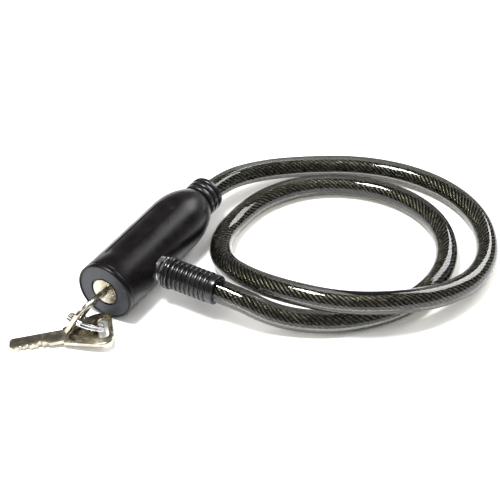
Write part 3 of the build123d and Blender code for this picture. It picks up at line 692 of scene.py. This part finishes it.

# %% [markdown]
# ## Wires, grease and painted shade
# A strand is itself laid from wires. A sine wave across the strand, whose sign is dropped, makes
# their round backs, and adding the distance along makes them go round. Grease and painted shade lie
# where the strand turns inward and between the wires, so the two masks are multiplied and the
# product takes the colour from a near-black, standing for the grease and for the shade in these
# crevices, to the clean steel on the outward wire crowns.

# %% Wires of the rope
WIRES_ROUND = 9          # wires round a strand
WIRE_LAY = 9.0           # length in which a wire goes once round
WIRE_DEPTH = 0.05
tree = finishes["rope"].node_tree
shader = tree.nodes["Principled BSDF"]
split = add_node(tree, "SeparateXYZ", Vector=add_node(tree, "TexCoord").outputs["UV"])
lay = maths(tree, "DIVIDE", split.outputs["X"], WIRE_LAY)
round_it = maths(tree, "ADD", split.outputs["Y"], lay)
phase = maths(tree, "MULTIPLY", round_it, pi * WIRES_ROUND)
back = maths(tree, "ABSOLUTE", maths(tree, "SINE", phase))
aside = maths(tree, "ABSOLUTE", maths(tree, "SUBTRACT", split.outputs["Y"], 0.5))
outward = ranged(tree, aside, 0.15, 0.05)
raised = ranged(tree, back, 0.0, 0.5)
unshaded_clean_crowns = maths(tree, "MULTIPLY", outward.outputs["Result"], raised.outputs["Result"])
clean = shader.inputs["Base Color"].links[0].from_socket
# Near black on the strands' inward sides and between the wires: grease and painted shade.
grease_and_painted_shade = add_node(tree, "Mix", {"data_type": "RGBA"}, Factor=unshaded_clean_crowns,
                   i6=(0.012, 0.012, 0.010, 1), i7=clean)
tree.links.new(grease_and_painted_shade.outputs[2], shader.inputs["Base Color"])
wires = add_node(tree, "Bump", Height=back, Normal=shader.inputs["Normal"].links[0].from_socket,
                 Strength=1.0, Distance=WIRE_DEPTH * MM)
tree.links.new(wires.outputs["Normal"], shader.inputs["Normal"])
print("rope finish has", len(tree.nodes), "nodes")

# %% [markdown]
# ## Smoky clear plastic
# The sheath is smoky: light that goes in and out of it loses most of its strength, but its surface
# stays bright. A glass-like body lets no lamp light straight through, so shadow rays see a plain
# tinted film instead, and the rope inside is lit.

# %% Clear plastic
finishes["sheath"] = new_finish(
    "smoke_clear_plastic", (0.11, 0.11, 0.102), (0.14, 0.14, 0.13),
    1.2, 12, 0.02, 0.06, 0.05, 0.02, Transmission_Weight=1.0, IOR=1.5)
tree = finishes["sheath"].node_tree
glass = tree.nodes["Principled BSDF"].outputs[0]
film = add_node(tree, "BsdfTransparent", Color=(0.16, 0.145, 0.10, 1)).outputs[0]
in_shadow = add_node(tree, "LightPath").outputs["Is Shadow Ray"]
either = add_node(tree, "MixShader", i0=in_shadow, i1=glass, i2=film)
tree.links.new(either.outputs[0], tree.nodes["Material Output"].inputs["Surface"])
print("sheath finish has", len(tree.nodes), "nodes")

# %% [markdown]
# ## Which piece has which finish
# The engineering pieces carry the name of their finish in their material slots, so a loop is enough
# for them. The new pieces are listed one by one.

# %% Hand out the finishes
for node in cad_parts.values():
    for slot in node.material_slots:
        slot.material = finishes[slot.material.name]
for piece, label in ((cover, "cover_rubber"), (boot, "boot_rubber"), (neck, "boot_rubber"),
                     (flange, "flange_black"), (ring, "chrome"), (home_key, "nickel"),
                     (spare_key, "nickel"), (sheath, "sheath"), (strands, "rope"),
                     (rope_core, "rope"), (sleeve, "sleeve")):
    piece.data.materials.clear()
    piece.data.materials.append(finishes[label])
print("finishes", len(finishes))

# %% [markdown]
# ## An even room
# The table is lit by a bright room, which keeps the shadows pale. Reflections see a dimmer one, as
# a dark wall behind the camera gives, so black rubber and clear plastic don't turn milky. The
# Light Path node tells the world which kind of ray has reached it.

# %% Room
ROOM, REFLECTED_ROOM = 1.25, 0.20
world = bpy.data.worlds.new("studio")
bpy.context.scene.world = world
world.use_nodes = True
room = world.node_tree
background = room.nodes["Background"]
background.inputs["Color"].default_value = (1.0, 0.985, 0.965, 1)
rays = add_node(room, "LightPath").outputs
seen = maths(room, "MAXIMUM", rays["Is Camera Ray"], rays["Is Diffuse Ray"])
power = maths(room, "MULTIPLY_ADD", seen, ROOM - REFLECTED_ROOM, REFLECTED_ROOM)
room.links.new(power, background.inputs["Strength"])
bpy.context.scene.view_settings.view_transform = "Standard"
print("room strength", ROOM, "and", REFLECTED_ROOM, "in reflections")

# %% [markdown]
# ## Light and table
# One small softbox overhead makes the short crisp streaks on the sheath and boot. A wider, weaker
# one behind gives the dull cover its long soft highlight. The table is one plain pale sheet.

# %% Light and table
def softbox(name, towards, far, size, power):
    """A rectangular area light that faces the lock from a direction."""
    light = bpy.data.lights.new(name, "AREA")
    light.shape = "RECTANGLE"
    light.size, light.size_y = size
    light.energy = power
    lamp = bpy.data.objects.new(name, light)
    bpy.context.collection.objects.link(lamp)
    direction = Vector(towards).normalized()
    lamp.location = LOOK_AT + direction * far
    lamp.rotation_euler = (-direction).to_track_quat("-Z", "Y").to_euler()
    print(name, "softbox at", [round(c, 2) for c in lamp.location])


softbox("overhead", towards=(-0.156, -0.19, 0.968), far=0.8, size=(0.26, 0.17), power=12)
softbox("behind", towards=(0.22, 0.8, 0.55), far=0.9, size=(0.45, 0.35), power=4.2)
TABLE_HALF = 3      # metres
bm = bmesh.new()
bmesh.ops.create_grid(bm, x_segments=1, y_segments=1, size=TABLE_HALF)
table = finished("table", bm)
table.data.materials.append(new_finish(
    "white_table", (0.86, 0.86, 0.86), (0.90, 0.90, 0.90), 1.0, 60, 0.5, 0.65, 0.05, 0.02))

# %% [markdown]
# ## The cable's pieces in place
# When the plug is pulled out, the cable goes with it and the end in the barrel's neck stays. Here
# the sheath, the rope's strands and its core get their placement baked into their meshes, and the
# engineering sheath and rope are hidden.

# %% Cable pieces baked in place
for piece in (sheath, strands, rope_core):
    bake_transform(piece)
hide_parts("cable_sheath")
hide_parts("cable_rope")
